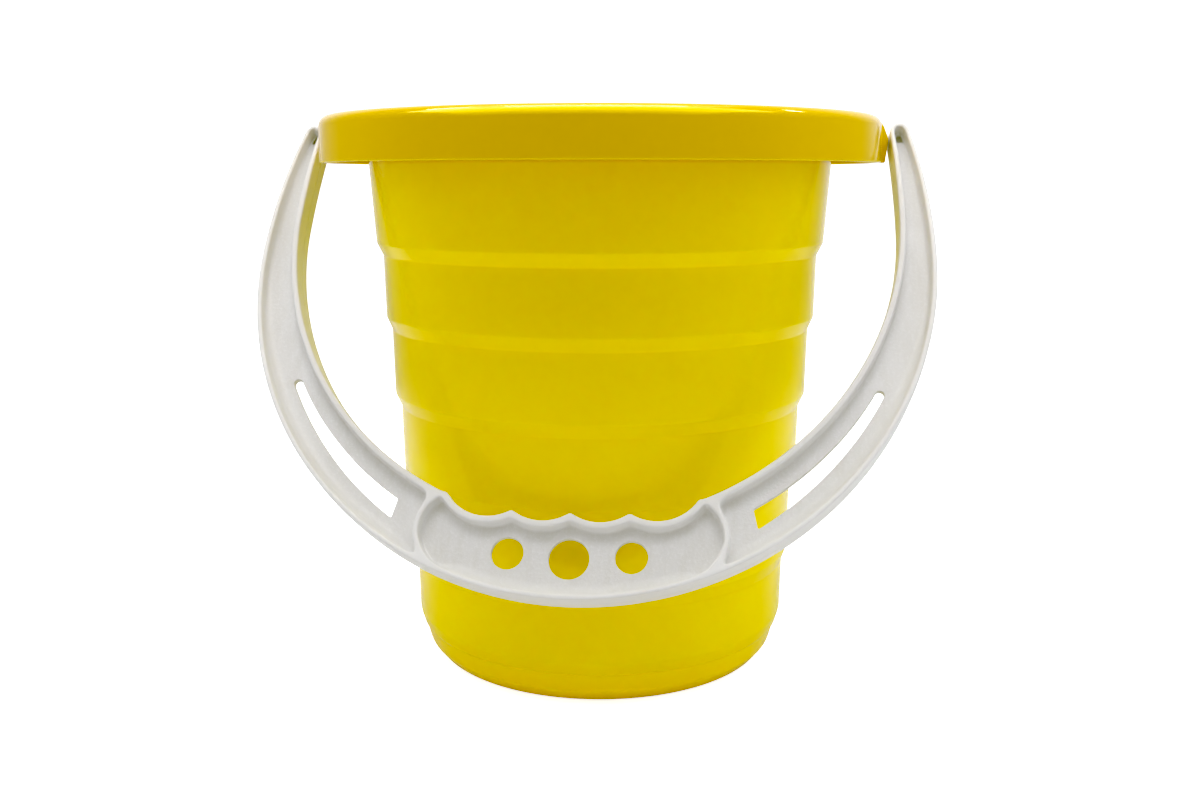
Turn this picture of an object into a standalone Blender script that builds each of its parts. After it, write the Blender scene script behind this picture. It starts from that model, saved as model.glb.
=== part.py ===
"""Sand bucket: a stepped plastic pail with a hanging-skirt rim, and a bail handle that swings on it.

Metres, +Z up. The origin is the centre of the pail's flat base, and the handle's hinge line runs along X.
At rest the handle hangs forward (towards -Y), leaning on the front of the pail.
"""

from math import asin, atan2, cos, hypot, pi, radians, sin, sqrt, tau

import bmesh
import bpy

# ---- Pail: overall sizes ----
RIM_RADIUS = 0.110
RIM_HEIGHT = 0.214  # height of the rim's flat top
RIM_THICKNESS = 0.002
RIM_ROUNDING = 0.004  # outer top corner
SKIRT_DEPTH = 0.0177  # from the rim's top to the skirt's lower edge
SKIRT_THICKNESS = 0.0018
UNDER_RIM_ROUNDING = 0.0015
MOUTH_ROUNDING = 0.0008
WALL = 0.002
FLOOR = 0.0025

# ---- Pail: tiers, from the top one down ----
LEDGE_HEIGHTS = (0.1630, 0.1340, 0.1035, 0.0723, 0.0402)  # middle of each sloping ledge
LEDGE_RISE = 0.005
TIER_RADII = (0.0889, 0.0857, 0.0828, 0.0797, 0.0768, 0.0744)  # at the lower end of each tier
TOP_DRAFT = 0.080  # radius gained per metre of height in the top tier
DRAFT = 0.030  # the same in the tiers below it

# ---- Pail: foot ----
FOOT_HEIGHT = 0.017  # where the lowest tier starts to turn in
FOOT_BEAD_HEIGHT = 0.0088  # a fine ledge round the foot
FOOT_BEAD_RADIUS = 0.0708
FOOT_BEAD = 0.0006
BASE_RADIUS = 0.0645  # the flat that the pail stands on

# ---- Hinge: an ear with a hole on each side of the skirt ----
HINGE_HEIGHT = 0.205
EAR_STANDS_OUT = 0.0026  # of the skirt, at the hinge
EAR_ROOT = 0.1086
EAR_HALF_WIDTH = 0.0080
EAR_TAPER = 0.8  # half width lost per unit that the ear stands out of the skirt
EAR_SIDE = ((0.1966, 0.0016), (HINGE_HEIGHT, EAR_STANDS_OUT), (0.2110, 0.0004))  # by height
HOLE_CUT_PAST = 0.0050
PIN_RADIUS = 0.0026
PIN_HEAD_RADIUS = 0.0036
PIN_TIP = 0.1055  # distance of each pin's free end from the pail's axis
PIN_HEAD_LENGTH = 0.0022
PIN_TIP_RADIUS = 0.0020
PIN_ROOT_OVERLAP = 0.0006  # how far the pin reaches into the arm that it is moulded on
CLEARANCE = 0.0003

# ---- Handle: a flat crescent, drawn with u across and v down from the hinge line ----
REST_LEAN = radians(33.0)  # from hanging straight down, to where the grip meets the pail
HALF_DEPTH = 0.0062  # from the handle's middle plane to the edge of its flanges
HALF_WEB = 0.0012
# Each edge is two quarter ellipses that meet where the handle is widest:
# half width, distance of the widest place below the hinge, and the semi-axes below and above it.
OUTER_EDGE = (0.1281, 0.0558, 0.1300, 0.1700)
INNER_EDGE = (0.1148, 0.0390, 0.1200, 0.2300)
ARM_END_RISE = 0.0047  # the rounded end above the hinge line
ARM_FLANGE_AT_HINGE = 0.0020
ARM_FLANGE = 0.0032
GRIP_FLANGE = 0.0027  # along the finger scallops
CORNER = 0.0010  # the pockets' corners are cut off by about this much
CUT_PAST = 0.0020  # how far a cutter reaches beyond what it cuts

# ---- Handle: grip ----
HORN = (0.0435, 0.1494)  # where the finger scallops end
SCALLOP_TIPS = ((0.0203, 0.1550), (0.0, 0.1554))
SCALLOP_VALLEYS = ((0.0310, 0.1575), (0.0099, 0.1586))
RIB_ARC = ((0.0455, 0.1510), (0.0523, 0.1620), (0.0478, 0.1730))  # grip side of the rib at its end
RIB_THICKNESS = 0.0021
GRIP_HOLES = ((-0.0213, 0.1694, 0.0056), (0.0, 0.1707, 0.0070), (0.0213, 0.1694, 0.0056))

# ---- Handle: a long slot in each arm, and a core hole behind each pin ----
SLOT_INNER = ((0.1041, 0.1080), (0.0874, 0.1305), (0.0620, 0.1511))
SLOT_OUTER = ((0.1075, 0.1085), (0.0899, 0.1348), (0.0636, 0.1583))
CORE_HOLE_HALF = 0.0017

# ---- Fineness of the round shapes ----
TURNED_STEPS = 64
ELLIPSE_STEPS = 18
SCALLOP_STEPS = 40
ARC_STEPS = 8
CAP_STEPS = 6
ROUNDING_STEPS = 4
HOLE_STEPS = 28
SHARP_ANGLE = radians(30)

YELLOW = (0.80, 0.63, 0.01)
WHITE = (0.83, 0.83, 0.80)


# ---------------------------------------------------------------- general helpers


def clear_scene():
    for obj in list(bpy.data.objects):
        bpy.data.objects.remove(obj, do_unlink=True)


def plastic(name, colour, roughness):
    material = bpy.data.materials.new(name)
    material.use_nodes = True
    shader = material.node_tree.nodes["Principled BSDF"]
    shader.inputs["Base Color"].default_value = (*colour, 1.0)
    shader.inputs["Roughness"].default_value = roughness
    shader.inputs["Metallic"].default_value = 0.0
    return material


def new_object(name, bm, material=None):
    """Makes an object from a bmesh, with its faces turned outwards."""
    bmesh.ops.recalc_face_normals(bm, faces=bm.faces)
    mesh = bpy.data.meshes.new(name)
    bm.to_mesh(mesh)
    bm.free()
    obj = bpy.data.objects.new(name, mesh)
    bpy.context.scene.collection.objects.link(obj)
    if material:
        mesh.materials.append(material)
    return obj


def combine(obj, tool, operation):
    """Adds a Boolean of the tool object, which is only a guide and isn't rendered."""
    tool.hide_render = True
    tool.display_type = "WIRE"
    modifier = obj.modifiers.new(tool.name, "BOOLEAN")
    modifier.operation = operation
    modifier.object = tool


def spread(start, end, steps):
    """Evenly spaced values, both ends included."""
    return [start + (end - start) * i / steps for i in range(steps + 1)]


def arc_through(first, middle, last, steps=ARC_STEPS):
    """Points along the circle arc through three points, both ends included."""
    centre, radius = circle_through(first, middle, last)
    start, via, end = (atan2(p[1] - centre[1], p[0] - centre[0]) for p in (first, middle, last))
    sweep = (end - start) % tau
    if (via - start) % tau > sweep:
        sweep -= tau
    turns = spread(start, start + sweep, steps)
    return [(centre[0] + radius * cos(turn), centre[1] + radius * sin(turn)) for turn in turns]


def circle_through(a, b, c):
    """Centre and radius of the circle through three points."""
    twice_area = 2 * ((b[0] - a[0]) * (c[1] - a[1]) - (b[1] - a[1]) * (c[0] - a[0]))
    b_squared = (b[0] - a[0]) ** 2 + (b[1] - a[1]) ** 2
    c_squared = (c[0] - a[0]) ** 2 + (c[1] - a[1]) ** 2
    x = a[0] + ((c[1] - a[1]) * b_squared - (b[1] - a[1]) * c_squared) / twice_area
    y = a[1] + ((b[0] - a[0]) * c_squared - (c[0] - a[0]) * b_squared) / twice_area
    return (x, y), hypot(a[0] - x, a[1] - y)


# ---------------------------------------------------------------- pail


def tier_ends():
    """Top and bottom (radius, height) of each tier's outer wall, from the top tier down."""
    tops = [RIM_HEIGHT - RIM_THICKNESS] + [h - LEDGE_RISE / 2 for h in LEDGE_HEIGHTS]
    bottoms = [h + LEDGE_RISE / 2 for h in LEDGE_HEIGHTS] + [FOOT_HEIGHT]
    ends = []
    for top, bottom, radius in zip(tops, bottoms, TIER_RADII):
        draft = DRAFT if ends else TOP_DRAFT
        ends += [(radius + draft * (top - bottom), top), (radius, bottom)]
    return ends


def foot_curve(shrink, lowest):
    """The foot's rounding, from its fine ledge in to the flat base."""
    width = FOOT_BEAD_RADIUS - BASE_RADIUS
    height = FOOT_BEAD_HEIGHT - lowest
    angles = spread(0.0, pi / 2, ROUNDING_STEPS)
    return [(BASE_RADIUS - shrink + width * cos(a), lowest + height * (1 - sin(a))) for a in angles][::-1]


def pail_outside():
    """The pail's outer side as (radius, height), from the rim's top down to the middle of its base."""
    corner = RIM_RADIUS - RIM_ROUNDING
    angles = spread(0.0, pi / 2, ROUNDING_STEPS)
    rounding = [(corner + RIM_ROUNDING * sin(a), RIM_HEIGHT - RIM_ROUNDING * (1 - cos(a))) for a in angles]
    skirt_bottom = RIM_HEIGHT - SKIRT_DEPTH
    skirt_inside = RIM_RADIUS - SKIRT_THICKNESS
    under_rim = RIM_HEIGHT - RIM_THICKNESS
    skirt = [
        (RIM_RADIUS, skirt_bottom),
        (skirt_inside, skirt_bottom),
        (skirt_inside, under_rim - UNDER_RIM_ROUNDING),
        (skirt_inside - UNDER_RIM_ROUNDING, under_rim),
    ]
    bead = [(FOOT_BEAD_RADIUS + FOOT_BEAD, FOOT_BEAD_HEIGHT + FOOT_BEAD)]
    return rounding + skirt + tier_ends() + bead + foot_curve(0.0, 0.0)[::-1] + [(0.0, 0.0)]


def pail_inside():
    """The pail's inner side, from the middle of its floor up to the rim's top."""
    wall = [(radius - WALL, height) for radius, height in tier_ends()]
    mouth_radius = wall[0][0]
    mouth = [(mouth_radius, RIM_HEIGHT - MOUTH_ROUNDING), (mouth_radius + MOUTH_ROUNDING, RIM_HEIGHT)]
    return [(0.0, FLOOR)] + foot_curve(WALL, FLOOR) + wall[:0:-1] + mouth


def turned(name, profile, material=None):
    """Turns a closed section about Z. Points on the axis become one vertex each."""
    bm = bmesh.new()
    rings = []
    for radius, height in profile:
        if radius == 0.0:
            rings.append([bm.verts.new((0.0, 0.0, height))] * TURNED_STEPS)
        else:
            turns = [tau * i / TURNED_STEPS for i in range(TURNED_STEPS)]
            rings.append([bm.verts.new((radius * cos(t), radius * sin(t), height)) for t in turns])
    for ring, following in zip(rings, rings[1:] + rings[:1]):
        for i in range(TURNED_STEPS):
            j = (i + 1) % TURNED_STEPS
            corners = list(dict.fromkeys((ring[i], ring[j], following[j], following[i])))
            if len(corners) > 2:
                bm.faces.new(corners)
    return new_object(name, bm, material)


def add_turned_on_x(bm, sections):
    """Adds a solid turned about X from its (x, radius) sections, with the hinge line at height 0."""
    turns = [tau * i / HOLE_STEPS for i in range(HOLE_STEPS)]
    rings = [[bm.verts.new((x, radius * cos(t), radius * sin(t))) for t in turns] for x, radius in sections]
    for ring, following in zip(rings, rings[1:]):
        for i in range(HOLE_STEPS):
            j = (i + 1) % HOLE_STEPS
            bm.faces.new((ring[i], ring[j], following[j], following[i]))
    bm.faces.new(rings[0])
    bm.faces.new(rings[-1])


def ears():
    """The pad that stands out of the skirt on each side, most at the hinge, with sloping sides."""
    bm = bmesh.new()
    for side in (-1, 1):
        sections = []
        for height, stands_out in EAR_SIDE:
            half_face = EAR_HALF_WIDTH - EAR_TAPER * stands_out
            half = [(EAR_ROOT, EAR_HALF_WIDTH), (RIM_RADIUS, EAR_HALF_WIDTH), (RIM_RADIUS + stands_out, half_face)]
            outline = half + [(x, -y) for x, y in reversed(half)]
            sections.append([bm.verts.new((side * x, y, height)) for x, y in outline])
        for low, high in zip(sections, sections[1:]):
            for i in range(len(low)):
                j = (i + 1) % len(low)
                bm.faces.new((low[i], low[j], high[j], high[i]))
        bm.faces.new(sections[0])
        bm.faces.new(sections[-1])
    bmesh.ops.triangulate(bm, faces=bm.faces)
    return new_object("ear_pads", bm)


def pin_holes():
    bm = bmesh.new()
    radius = PIN_RADIUS + CLEARANCE
    for side in (-1, 1):
        ends = (EAR_ROOT - HOLE_CUT_PAST, RIM_RADIUS + EAR_STANDS_OUT + HOLE_CUT_PAST)
        add_turned_on_x(bm, [(side * x, radius) for x in ends])
    tool = new_object("pin_hole_cutter", bm)
    tool.location.z = HINGE_HEIGHT
    return tool


def build_pail():
    pail = turned("bucket_body", pail_outside() + pail_inside(), plastic("yellow_plastic", YELLOW, 0.25))
    combine(pail, ears(), "UNION")
    combine(pail, pin_holes(), "DIFFERENCE")
    pail.data.shade_smooth()
    pail.data.set_sharp_from_angle(angle=SHARP_ANGLE)
    return pail


# ---------------------------------------------------------------- handle


def ellipse_edge(edge, bottom=None):
    """Points of the right side's edge, from the hinge line down to v = bottom, or to the middle."""
    half_width, widest, below, above = edge
    start = -asin(widest / above)
    end = pi / 2 if bottom is None else asin((bottom - widest) / below)
    angles = spread(start, end, ELLIPSE_STEPS)
    return [(half_width * cos(a), widest + (below if a > 0 else above) * sin(a)) for a in angles]


def recess_edge(edge, side):
    """The recess's edge along the outer (1) or inner (-1) flange, which is thinner at the hinge."""
    half_width, widest, below, _ = edge
    half_width, below = half_width - side * ARM_FLANGE, below - side * ARM_FLANGE
    at_hinge = ellipse_edge(edge)[0][0] - side * ARM_FLANGE_AT_HINGE
    return half_width, widest, below, widest / sqrt(1 - (at_hinge / half_width) ** 2)


def mirrored(points):
    """The points of the left side, which run the other way."""
    return [(-u, v) for u, v in reversed(points)]


def arm_end(inset=0.0):
    """The rounded end above the hinge line, from the outer edge round to the inner one."""
    outer = ellipse_edge(OUTER_EDGE)[0][0] - inset
    inner = ellipse_edge(INNER_EDGE)[0][0] + inset
    middle, half = (outer + inner) / 2, (outer - inner) / 2
    angles = spread(0.0, pi, ARC_STEPS)[1:-1]
    return [(middle + half * cos(a), -(ARM_END_RISE - inset) * sin(a)) for a in angles]


def scallop_arcs():
    """The right side's two finger scallops, from the horn to the middle tip, as three points each."""
    ends = (HORN,) + SCALLOP_TIPS
    return [(ends[i], SCALLOP_VALLEYS[i], ends[i + 1]) for i in range(2)]


def crescent_outline():
    """The handle's outline: up the right arm's outside, down its inside, across the grip and round."""
    outer = ellipse_edge(OUTER_EDGE)[::-1]
    inner = ellipse_edge(INNER_EDGE, bottom=HORN[1])
    scallops = []
    for first, valley, last in scallop_arcs():
        scallops += arc_through(first, valley, last)[:-1]
    right = outer + arm_end() + inner + scallops
    middle_tip = SCALLOP_TIPS[-1]
    return right + [middle_tip] + mirrored(right)[:-1]


def rib_circle():
    return circle_through(*RIB_ARC)


def rib_side(thickness):
    """Points of the rib's curve on the right side, from near the scallops to near the outer flange."""
    centre, radius = rib_circle()
    start, end = (atan2(p[1] - centre[1], p[0] - centre[0]) for p in (RIB_ARC[0], RIB_ARC[2]))
    reach = radius + thickness
    turns = spread(start, end, ARC_STEPS)
    return [(centre[0] + reach * cos(turn), centre[1] + reach * sin(turn)) for turn in turns]


def scallop_wall(u):
    """How far down the scalloped flange reaches at u, on the grip pocket's side."""
    reaches = []
    for arc in scallop_arcs():
        (centre_u, centre_v), radius = circle_through(*arc)
        for side in (-1, 1):
            room = (radius + GRIP_FLANGE) ** 2 - (u - side * centre_u) ** 2
            if room > 0:
                reaches.append(centre_v + sqrt(room))
    return max(reaches)


def grip_pocket():
    """The recess between the two ribs, below the scallops and above the outer flange."""
    rib = rib_side(0.0)
    upper_end, upper_top = rib[0]
    upper = [(u, max(scallop_wall(u), upper_top)) for u in spread(-upper_end, upper_end, SCALLOP_STEPS)]
    half_width, widest, below, _ = recess_edge(OUTER_EDGE, 1)
    lower_end = rib[-1][0]
    lower_us = spread(lower_end, -lower_end, ELLIPSE_STEPS)
    lower = [(u, widest + below * sqrt(1 - (u / half_width) ** 2)) for u in lower_us]
    return upper + rib[1:-1] + lower + mirrored(rib[1:-1])


def arm_pocket():
    """The recess in the right arm, from its rounded end down to the rib."""
    outer = [p for p in ellipse_edge(recess_edge(OUTER_EDGE, 1)) if past_rib(p)]
    inner = [p for p in ellipse_edge(recess_edge(INNER_EDGE, -1)) if past_rib(p)]
    rib = [p for p in rib_side(RIB_THICKNESS) if between_flanges(p)]
    return outer[::-1] + arm_end(ARM_FLANGE_AT_HINGE) + inner + rib


def past_rib(point):
    """Whether a point is on the arm's side of the rib, and a corner's width clear of it."""
    centre, radius = rib_circle()
    distance = hypot(point[0] - centre[0], point[1] - centre[1])
    return point[0] > centre[0] and distance > radius + RIB_THICKNESS + CORNER


def ellipse_ratio(point, edge):
    """The point's distance from the middle of an edge's lower ellipse, where 1 is on the ellipse."""
    half_width, widest, below, _ = edge
    return hypot(point[0] / half_width, (point[1] - widest) / below)


def between_flanges(point):
    margin = CORNER / OUTER_EDGE[0] / 2
    inside_outer = ellipse_ratio(point, recess_edge(OUTER_EDGE, 1)) < 1 - margin
    outside_inner = ellipse_ratio(point, recess_edge(INNER_EDGE, -1)) > 1 + margin
    return inside_outer and outside_inner


def slot():
    """The right arm's slot: a rounded narrow end near the hinge, and a square wide end near the grip."""
    inner = arc_through(*SLOT_INNER)
    outer = arc_through(*SLOT_OUTER)
    centre = ((inner[0][0] + outer[0][0]) / 2, (inner[0][1] + outer[0][1]) / 2)
    across = (outer[0][0] - centre[0], outer[0][1] - centre[1])
    cap = []
    for turn in spread(0.0, -pi, CAP_STEPS)[1:-1]:
        u = across[0] * cos(turn) - across[1] * sin(turn)
        v = across[0] * sin(turn) + across[1] * cos(turn)
        cap.append((centre[0] + u, centre[1] + v))
    return outer[::-1] + cap + inner


def circle(u, v, radius):
    turns = [tau * i / HOLE_STEPS for i in range(HOLE_STEPS)]
    return [(u + radius * cos(turn), v + radius * sin(turn)) for turn in turns]


def square(u, v, half):
    return [(u - half, v - half), (u + half, v - half), (u + half, v + half), (u - half, v + half)]


def add_prism(bm, outline, low, high):
    """Adds the outline as a closed prism between two distances from the handle's middle plane."""
    base, top = ([bm.verts.new((u, w, -v)) for u, v in outline] for w in (low, high))
    bm.faces.new(base)
    bm.faces.new(top)
    for i in range(len(outline)):
        j = (i + 1) % len(outline)
        bm.faces.new((base[i], base[j], top[j], top[i]))


def both_arms(outline):
    return [outline, mirrored(outline)]


def pocket_cutter():
    bm = bmesh.new()
    past = HALF_DEPTH + CUT_PAST
    for outline in [grip_pocket()] + both_arms(arm_pocket()):
        add_prism(bm, outline, -past, -HALF_WEB)
        add_prism(bm, outline, HALF_WEB, past)
    return new_object("handle_pocket_cutter", bm)


def opening_cutter():
    """The grip's three holes, the arms' slots and the core holes behind the pins."""
    bm = bmesh.new()
    core_u = (ellipse_edge(OUTER_EDGE)[0][0] + ellipse_edge(INNER_EDGE)[0][0]) / 2
    outlines = [circle(*hole) for hole in GRIP_HOLES] + both_arms(slot())
    outlines += both_arms(square(core_u, 0.0, CORE_HOLE_HALF))
    for outline in outlines:
        add_prism(bm, outline, -2 * HALF_WEB, 2 * HALF_WEB)
    return new_object("handle_opening_cutter", bm)


def pins():
    """A headed pin moulded on each arm's inner side, which snaps into the ear's hole."""
    root = ellipse_edge(INNER_EDGE)[0][0] + PIN_ROOT_OVERLAP
    bm = bmesh.new()
    sections = (
        (PIN_TIP, PIN_TIP_RADIUS),
        (PIN_TIP + PIN_HEAD_LENGTH / 2, PIN_HEAD_RADIUS),
        (PIN_TIP + PIN_HEAD_LENGTH, PIN_RADIUS),
        (root, PIN_RADIUS),
    )
    for side in (-1, 1):
        add_turned_on_x(bm, [(side * x, radius) for x, radius in sections])
    return new_object("handle_pins", bm)


def build_handle():
    bm = bmesh.new()
    add_prism(bm, crescent_outline(), -HALF_DEPTH, HALF_DEPTH)
    handle = new_object("handle", bm, plastic("white_plastic", WHITE, 0.45))
    tools = ((pocket_cutter(), "DIFFERENCE"), (opening_cutter(), "DIFFERENCE"), (pins(), "UNION"))
    for tool, operation in tools:
        combine(handle, tool, operation)
        tool.parent = handle
    handle.data.shade_smooth()
    handle.data.set_sharp_from_angle(angle=SHARP_ANGLE)
    handle.location.z = HINGE_HEIGHT
    handle.rotation_euler.x = -REST_LEAN
    return handle


def main():
    clear_scene()
    build_pail()
    build_handle()


main()
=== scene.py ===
"""Looks of the sand bucket.

Fine meshes with procedural plastics replace the two CAD nodes, in a white studio.
"""

from math import asin, atan2, cos, hypot, pi, radians, sin, sqrt, tau

import bmesh
import bpy
import numpy as np
from mathutils import Matrix, Vector
from mathutils.geometry import tessellate_polygon


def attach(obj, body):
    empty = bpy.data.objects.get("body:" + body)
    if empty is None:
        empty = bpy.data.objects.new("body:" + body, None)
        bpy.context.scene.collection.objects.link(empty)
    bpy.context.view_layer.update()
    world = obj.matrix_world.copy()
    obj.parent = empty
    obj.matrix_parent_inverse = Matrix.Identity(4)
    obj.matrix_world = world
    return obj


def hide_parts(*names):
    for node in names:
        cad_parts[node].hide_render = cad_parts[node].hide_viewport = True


# ---- Pail (metres), as in the CAD part ----
RIM_RADIUS = 0.110
RIM_HEIGHT = 0.214
RIM_THICKNESS = 0.002
RIM_ROUNDING = 0.004
SKIRT_DEPTH = 0.0177
SKIRT_THICKNESS = 0.0018
WALL = 0.002
FLOOR = 0.0025
LEDGE_HEIGHTS = (0.1630, 0.1340, 0.1035, 0.0723, 0.0402)
LEDGE_RISE = 0.005
TIER_RADII = (0.0889, 0.0857, 0.0828, 0.0797, 0.0768, 0.0744)
TOP_DRAFT = 0.080
DRAFT = 0.030
FOOT_HEIGHT = 0.017
BASE_RADIUS = 0.0645

# ---- Ears and pins ----
HINGE_HEIGHT = 0.205
EAR_HALF_WIDTH = 0.0080
EAR_FLAT = 0.0058  # half width of an ear's flat face
EAR_STANDS_OUT = 0.0026  # at the hinge
EAR_STANDS_OUT_BELOW = 0.0016  # at the skirt's lower edge
HOLE_RADIUS = 0.0029
PIN_RADIUS = 0.0026
PIN_HEAD_RADIUS = 0.0036
PIN_TIP = 0.1055
PIN_HEAD_LENGTH = 0.0022
PIN_ROOT = 0.1131
PIN_BURIED = 0.0012  # how far the pin goes on into the arm

# ---- Handle, drawn with u across, v down from the hinge line, w through its thickness ----
REST_LEAN = radians(33.0)
HALF_DEPTH = 0.0062
HALF_WEB = 0.0012
OUTER_EDGE = (0.1281, 0.0558, 0.1300, 0.1700)
INNER_EDGE = (0.1148, 0.0390, 0.1200, 0.2300)
ARM_END_RISE = 0.0047
FLANGE_AT_HINGE = 0.0018
OUTER_FLANGE = (0.0022, 0.0018)  # on the arms, and under the grip
INNER_FLANGE = (0.0026, 0.0026)
GRIP_FLANGE = 0.0027
HORN = (0.0435, 0.1494)
SCALLOP_TIPS = ((0.0203, 0.1550), (0.0, 0.1554))
SCALLOP_VALLEYS = ((0.0310, 0.1575), (0.0099, 0.1586))
RIB_ARC = ((0.0455, 0.1510), (0.0523, 0.1620), (0.0478, 0.1730))
RIB_THICKNESS = 0.0021
GRIP_HOLES = ((-0.0213, 0.1694, 0.0056), (0.0, 0.1707, 0.0070), (0.0213, 0.1694, 0.0056))
SLOT_INNER = ((0.1041, 0.1080), (0.0874, 0.1305), (0.0620, 0.1511))
SLOT_OUTER = ((0.1075, 0.1085), (0.0899, 0.1348), (0.0636, 0.1583))
CORE_HOLE_HALF = 0.0017

# ---- Small shapes that only the looks need ----
RIM_TOP_START = 0.0990  # where the section starts, on the flat of the rim
FOOT_STEP_HEIGHT = 0.0128
FOOT_STEP_RADIUS = 0.0731
FOOT_STEP_IN, FOOT_STEP_DOWN = 0.0007, 0.0009
FOOT_CURVE = (0.0704, 0.0050)
STAND_RING = (0.0600, 0.0662)  # what the pail stands on
BASE_RECESS = 0.0006  # inside that ring
GATE_MARK = (0.0040, 0.0002)  # radius, and height off the ground
LONGEST_FACE = 0.006  # along the pail's section
EAR_STEPS, ROUND_STEPS = 52, 100
EAR_MARGIN = 0.0012  # fine steps go on this far past an ear
HOLE_CUT = (0.1030, 0.1180)  # from inside the skirt to outside the ear
EDGE_ROUNDING = 0.0007  # on the flanges' edges
WALL_DRAFT = 0.00018  # how much each pocket narrows to its floor
FOOT_OF_WALL = 0.0008  # rounding where a flange meets the web
ARM_COVE = 0.0014  # the wider rounding at the outer flange, near the hinge
GRIP_COVE = 0.0045  # and further down, where the web curves up to the flange's edge
ARM_SOFTENING = (0.120, 30)  # how the recesses' lower corners are rounded: below which v, rounds
GRIP_SOFTENING = (0.1680, 45)
SPACING = 0.0009  # between the points of an outline
OPENING_SPACING = 0.0006
CORE_SPACING = 0.0004
OUTSIDE_DRAFT = 0.00022
PARTING_GROOVE = 0.00025  # round the middle of the outside
OPENING_LIP = 0.0002
CORE_SKIN = 0.0003  # closes the small square hole behind each pin
CORE_TAPER = 0.0001
SHARP_ANGLE = 35.0  # degrees


# ---------------------------------------------------------------- general helpers


def spread(start, end, steps):
    return [start + (end - start) * i / steps for i in range(steps + 1)]


def smoothstep(low, high, x):
    t = np.clip((np.asarray(x, float) - low) / (high - low), 0, 1)
    return t * t * (3 - 2 * t)


def circle_through(a, b, c):
    """Centre and radius of the circle through three points."""
    twice_area = 2 * ((b[0] - a[0]) * (c[1] - a[1]) - (b[1] - a[1]) * (c[0] - a[0]))
    b_squared = (b[0] - a[0]) ** 2 + (b[1] - a[1]) ** 2
    c_squared = (c[0] - a[0]) ** 2 + (c[1] - a[1]) ** 2
    x = a[0] + ((c[1] - a[1]) * b_squared - (b[1] - a[1]) * c_squared) / twice_area
    y = a[1] + ((b[0] - a[0]) * c_squared - (c[0] - a[0]) * b_squared) / twice_area
    return (x, y), hypot(a[0] - x, a[1] - y)


def arc_through(first, middle, last, steps=60):
    centre, radius = circle_through(first, middle, last)
    start, via, end = (atan2(p[1] - centre[1], p[0] - centre[0]) for p in (first, middle, last))
    sweep = (end - start) % tau
    if (via - start) % tau > sweep:
        sweep -= tau
    turns = spread(start, start + sweep, steps)
    return [(centre[0] + radius * cos(turn), centre[1] + radius * sin(turn)) for turn in turns]


def rounded(points, steps=6):
    """An open line of (x, y, radius) points, with each corner replaced by an arc of its radius."""
    line = [points[0][:2]]
    for before, here, after in zip(points, points[1:], points[2:]):
        corner = Vector(here[:2])
        back, on = Vector(before[:2]) - corner, Vector(after[:2]) - corner
        half = back.angle(on, pi) / 2
        if here[2] <= 0 or half > pi / 2 - 0.01:
            line.append(tuple(corner))
            continue
        reach = min(here[2] / np.tan(half), back.length * 0.48, on.length * 0.48)
        start, end = corner + back.normalized() * reach, corner + on.normalized() * reach
        radius = reach * np.tan(half)
        middle = corner + (back.normalized() + on.normalized()).normalized() * (radius / sin(half))
        a, b = start - middle, end - middle
        turn = a.angle_signed(b)
        for i in range(steps + 1):
            part = -turn * i / steps
            x = middle.x + a.x * cos(part) - a.y * sin(part)
            y = middle.y + a.x * sin(part) + a.y * cos(part)
            line.append((x, y))
    line.append(points[-1][:2])
    return line


def make_object(name, points, faces, material, sharp=SHARP_ANGLE):
    """A smooth-shaded object from points and faces, with its faces turned outwards."""
    mesh = bpy.data.meshes.new(name)
    mesh.from_pydata([tuple(map(float, p)) for p in points], [], faces)
    mesh.materials.append(material)
    bm = bmesh.new()
    bm.from_mesh(mesh)
    bmesh.ops.recalc_face_normals(bm, faces=bm.faces)
    bm.to_mesh(mesh)
    bm.free()
    obj = bpy.data.objects.new(name, mesh)
    bpy.context.scene.collection.objects.link(obj)
    mesh.shade_smooth()
    mesh.set_sharp_from_angle(angle=radians(sharp))
    return obj


def even_normals(obj):
    """Flat faces keep their own direction, and only the roundings between them are shaded round."""
    modifier = obj.modifiers.new("even_normals", "WEIGHTED_NORMAL")
    modifier.keep_sharp = True
    modifier.weight = 60


# ---------------------------------------------------------------- pail


def tier_ends():
    tops = [RIM_HEIGHT - RIM_THICKNESS] + [h - LEDGE_RISE / 2 for h in LEDGE_HEIGHTS]
    bottoms = [h + LEDGE_RISE / 2 for h in LEDGE_HEIGHTS] + [FOOT_HEIGHT]
    ends = []
    for top, bottom, radius in zip(tops, bottoms, TIER_RADII):
        draft = DRAFT if ends else TOP_DRAFT
        ends += [(radius + draft * (top - bottom), top), (radius, bottom)]
    return ends


def subdivided(line, longest):
    """The line with its long stretches cut into pieces no longer than that."""
    out = [line[0]]
    for a, b in zip(line, line[1:]):
        pieces = max(1, int(np.ceil(hypot(b[0] - a[0], b[1] - a[1]) / longest)))
        for i in range(1, pieces + 1):
            out.append((a[0] + (b[0] - a[0]) * i / pieces, a[1] + (b[1] - a[1]) * i / pieces))
    return out


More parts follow.
